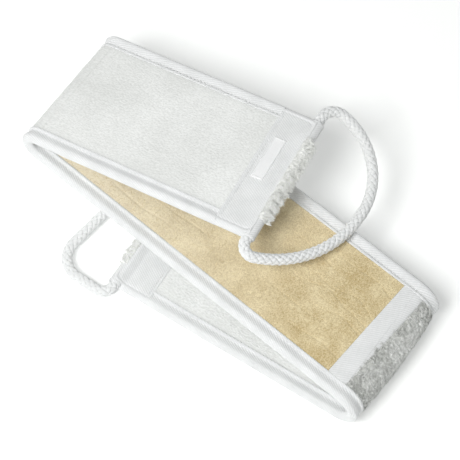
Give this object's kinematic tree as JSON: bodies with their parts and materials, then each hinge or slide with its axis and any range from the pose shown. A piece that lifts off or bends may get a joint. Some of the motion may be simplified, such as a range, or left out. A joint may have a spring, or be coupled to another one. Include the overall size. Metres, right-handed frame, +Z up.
{
  "type": "loofah back scrubber strap",
  "caption": "Long folded back scrubber strap with a loofah face, terry backing, twill edge bindings, webbing end tabs and braided rope hand loops.",
  "frame": {"origin": "centre of the lower section's flat underside, where the folded strap rests", "axes": "+X along the lower section from its free end to the lower fold, +Y across the strap, +Z up from the rest face"},
  "size_m": [0.2983, 0.1879, 0.0654],
  "materials": {
    "terry": "short looped terry pile, off white",
    "long_pile": "long fluffy terry pile, warm white",
    "loofah": "fibrous loofah cloth, tan",
    "twill_tape": "diagonal twill webbing, cool white",
    "foam": "soft wadding",
    "thread": "white sewing thread",
    "rope": "braided cotton rope, white",
    "label_ribbon": "plain woven ribbon"
  },
  "bodies": {
    "lower_section": {"lower_core": "foam", "lower_terry_face": "terry", "lower_pile_face": "long_pile", "lower_near_binding": "twill_tape", "lower_far_binding": "twill_tape", "lower_seam_thread": "thread", "lower_end_tab": "twill_tape", "lower_pile_fringe": "long_pile"},
    "lower_fold_inner": {"lower_fold_inner_core": "foam", "lower_fold_inner_terry": "terry", "lower_fold_inner_pile": "long_pile", "lower_fold_inner_bindings": "twill_tape"},
    "lower_fold_outer": {"lower_fold_outer_core": "foam", "lower_fold_outer_terry": "terry", "lower_fold_outer_pile": "long_pile", "lower_fold_outer_bindings": "twill_tape"},
    "middle_section": {"middle_core": "foam", "middle_terry_face": "terry", "middle_pile_strip": "long_pile", "middle_loofah_panel": "loofah", "lower_cross_band": "twill_tape", "upper_cross_band": "twill_tape", "middle_near_binding": "twill_tape", "middle_far_binding": "twill_tape", "middle_seam_thread": "thread"},
    "upper_fold_inner": {"upper_fold_inner_core": "foam", "upper_fold_inner_terry": "terry", "upper_fold_inner_pile": "long_pile", "upper_fold_inner_bindings": "twill_tape"},
    "upper_fold_outer": {"upper_fold_outer_core": "foam", "upper_fold_outer_terry": "terry", "upper_fold_outer_pile": "long_pile", "upper_fold_outer_bindings": "twill_tape"},
    "upper_section": {"upper_core": "foam", "upper_terry_face": "terry", "upper_pile_face": "long_pile", "upper_near_binding": "twill_tape", "upper_far_binding": "twill_tape", "upper_seam_thread": "thread", "upper_end_tab": "twill_tape", "upper_pile_fringe": "long_pile", "label": "label_ribbon"},
    "upper_handle": {"upper_rope_handle": "rope"},
    "lower_handle": {"lower_rope_handle": "rope"}
  },
  "joints": [
    {"name": "lower_fold_hinge_1", "type": "hinge", "parent": "lower_section", "child": "lower_fold_inner", "pos_m": [0.09627, -0.00047, 0.00462], "axis": [0.075, 0.9972, 0], "range_deg": [0, 60]},
    {"name": "lower_fold_hinge_2", "type": "hinge", "parent": "lower_fold_inner", "child": "lower_fold_outer", "pos_m": [0.10253, -0.00094, 0.0155], "axis": [0.075, 0.9972, 0], "range_deg": [0, 60]},
    {"name": "lower_fold_hinge_3", "type": "hinge", "parent": "lower_fold_outer", "child": "middle_section", "pos_m": [0.09627, -0.00047, 0.02638], "axis": [0.075, 0.9972, 0], "range_deg": [0, 60]},
    {"name": "upper_fold_hinge_1", "type": "hinge", "parent": "middle_section", "child": "upper_fold_inner", "pos_m": [-0.17981, 0.04324, 0.0282], "axis": [-0.0471, -0.9989, 0], "range_deg": [0, 58]},
    {"name": "upper_fold_hinge_2", "type": "hinge", "parent": "upper_fold_inner", "child": "upper_fold_outer", "pos_m": [-0.18409, 0.04344, 0.03506], "axis": [-0.0471, -0.9989, 0], "range_deg": [0, 58]},
    {"name": "upper_fold_hinge_3", "type": "hinge", "parent": "upper_fold_outer", "child": "upper_section", "pos_m": [-0.18055, 0.04328, 0.04234], "axis": [-0.0471, -0.9989, 0], "range_deg": [0, 58]},
    {"name": "upper_handle_swing", "type": "hinge", "parent": "upper_section", "child": "upper_handle", "pos_m": [-0.01733, 0.05457, 0.05863], "axis": [0.0553, -0.9984, 0.0107], "range_deg": [0, 170]},
    {"name": "lower_handle_swing", "type": "hinge", "parent": "lower_section", "child": "lower_handle", "pos_m": [-0.08512, 0, 0.00498], "axis": [0, 1, 0], "range_deg": [-150, 14]}
  ],
  "couplings": [
    {"joint": "lower_fold_hinge_1", "follows": "lower_fold_hinge_3", "ratio": 1},
    {"joint": "lower_fold_hinge_2", "follows": "lower_fold_hinge_3", "ratio": 1},
    {"joint": "upper_fold_hinge_1", "follows": "upper_fold_hinge_3", "ratio": 1},
    {"joint": "upper_fold_hinge_2", "follows": "upper_fold_hinge_3", "ratio": 1}
  ]
}
